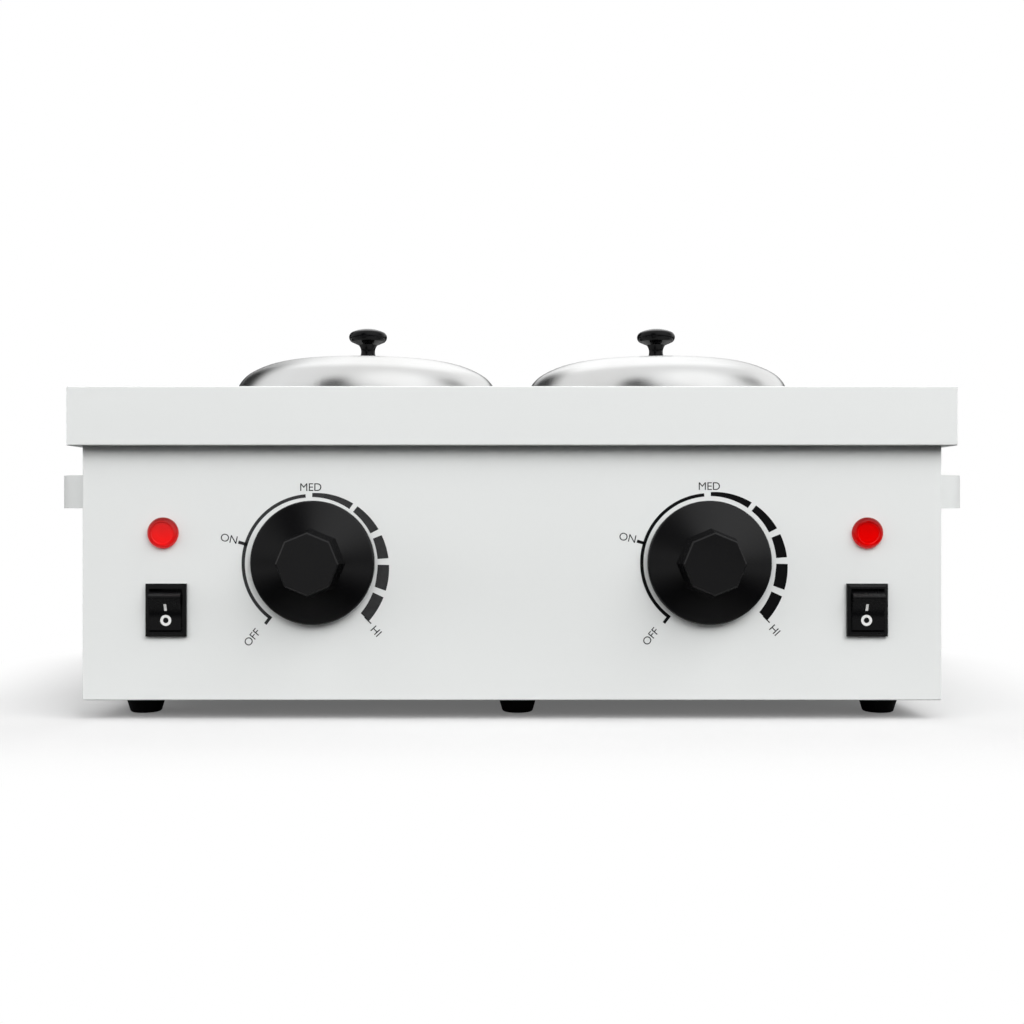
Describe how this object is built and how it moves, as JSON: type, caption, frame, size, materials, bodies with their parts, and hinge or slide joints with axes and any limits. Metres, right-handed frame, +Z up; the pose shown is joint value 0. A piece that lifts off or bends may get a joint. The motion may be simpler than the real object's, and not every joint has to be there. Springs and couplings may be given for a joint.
{
  "type": "double wax warmer",
  "caption": "Salon wax warmer: white sheet-metal box with side-by-side lidded heated pots, dials, rocker switches, pilot lamps and strap handles.",
  "frame": {"origin": "on the table under the middle of the bounding box", "axes": "+Z up, -Y is the control panel, +X is the viewer's right when facing the panel"},
  "size_m": [0.4188, 0.2224, 0.1778],
  "materials": {
    "white_enamel": "satin powder coat",
    "lid_steel": "satin spun",
    "spun_aluminium": "satin spun",
    "zinc_steel": "zinc plated",
    "black_rubber": "matt",
    "dial_black": "semi-matt moulded",
    "gloss_black": "gloss",
    "switch_black": "satin moulded",
    "lamp_red": "gloss translucent",
    "neon_glass": "clear",
    "ivory_plastic": "moulded",
    "thermostat_case": "moulded thermoset",
    "brass_metal": "stamped",
    "copper_sensor": "drawn",
    "heater_steel": "rolled",
    "wire_insulation": "silicone"
  },
  "bodies": {
    "housing": {"housing_wrap": "white_enamel", "rear_panel": "white_enamel", "top_cover": "white_enamel", "left_handle": "white_enamel", "right_handle": "white_enamel", "base_plate": "zinc_steel", "cover_studs": "zinc_steel", "cover_nuts": "zinc_steel", "foot_screws": "zinc_steel", "base_screws": "zinc_steel", "panel_screws": "zinc_steel", "handle_screws": "zinc_steel", "heater_clamps": "zinc_steel", "left_bracket": "zinc_steel", "right_bracket": "zinc_steel", "bracket_screws": "zinc_steel", "thermostat_screws": "zinc_steel", "inlet_screws": "zinc_steel", "foot_front_left": "black_rubber", "foot_front_middle": "black_rubber", "foot_front_right": "black_rubber", "foot_rear_left": "black_rubber", "foot_rear_middle": "black_rubber", "foot_rear_right": "black_rubber", "left_well": "spun_aluminium", "right_well": "spun_aluminium", "mains_inlet": "dial_black", "left_switch_housing": "switch_black", "right_switch_housing": "switch_black", "left_lamp_lens": "lamp_red", "right_lamp_lens": "lamp_red", "neon_bulbs": "neon_glass", "left_lamp_holder": "ivory_plastic", "right_lamp_holder": "ivory_plastic", "terminal_block": "ivory_plastic", "thermal_fuses": "ivory_plastic", "left_thermostat": "thermostat_case", "right_thermostat": "thermostat_case", "spade_terminals": "brass_metal", "inlet_pins": "brass_metal", "left_sensor": "copper_sensor", "right_sensor": "copper_sensor", "left_heater": "heater_steel", "right_heater": "heater_steel", "wiring": "wire_insulation"},
    "left_dial_unit": {"left_dial": "dial_black", "left_thermostat_shaft": "zinc_steel"},
    "left_rocker_unit": {"left_rocker": "switch_black"},
    "left_pot_unit": {"left_pot": "spun_aluminium"},
    "left_lid_unit": {"left_lid": "lid_steel", "left_knob": "gloss_black", "left_lid_screw": "zinc_steel"},
    "right_dial_unit": {"right_dial": "dial_black", "right_thermostat_shaft": "zinc_steel"},
    "right_rocker_unit": {"right_rocker": "switch_black"},
    "right_pot_unit": {"right_pot": "spun_aluminium"},
    "right_lid_unit": {"right_lid": "lid_steel", "right_knob": "gloss_black", "right_lid_screw": "zinc_steel"}
  },
  "joints": [
    {"name": "left_dial_turn", "type": "hinge", "parent": "housing", "child": "left_dial_unit", "pos_m": [-0.0828, -0.0938, 0.0659], "axis": [0, 1, 0], "range_deg": [0, 278]},
    {"name": "left_rocker_tip", "type": "hinge", "parent": "housing", "child": "left_rocker_unit", "pos_m": [-0.1439, -0.0915, 0.0462], "axis": [-1, 0, 0], "range_deg": [0, 22]},
    {"name": "left_pot_lift", "type": "slide", "parent": "housing", "child": "left_pot_unit", "axis": [0, 0, 1], "range_m": [0, 0.1]},
    {"name": "left_lid_lift", "type": "slide", "parent": "left_pot_unit", "child": "left_lid_unit", "axis": [0, 0, 1], "range_m": [0, 0.06]},
    {"name": "right_dial_turn", "type": "hinge", "parent": "housing", "child": "right_dial_unit", "pos_m": [0.082, -0.0938, 0.0659], "axis": [0, 1, 0], "range_deg": [0, 278]},
    {"name": "right_rocker_tip", "type": "hinge", "parent": "housing", "child": "right_rocker_unit", "pos_m": [0.1478, -0.0915, 0.0462], "axis": [-1, 0, 0], "range_deg": [0, 22]},
    {"name": "right_pot_lift", "type": "slide", "parent": "housing", "child": "right_pot_unit", "axis": [0, 0, 1], "range_m": [0, 0.1]},
    {"name": "right_lid_lift", "type": "slide", "parent": "right_pot_unit", "child": "right_lid_unit", "axis": [0, 0, 1], "range_m": [0, 0.06]}
  ]
}
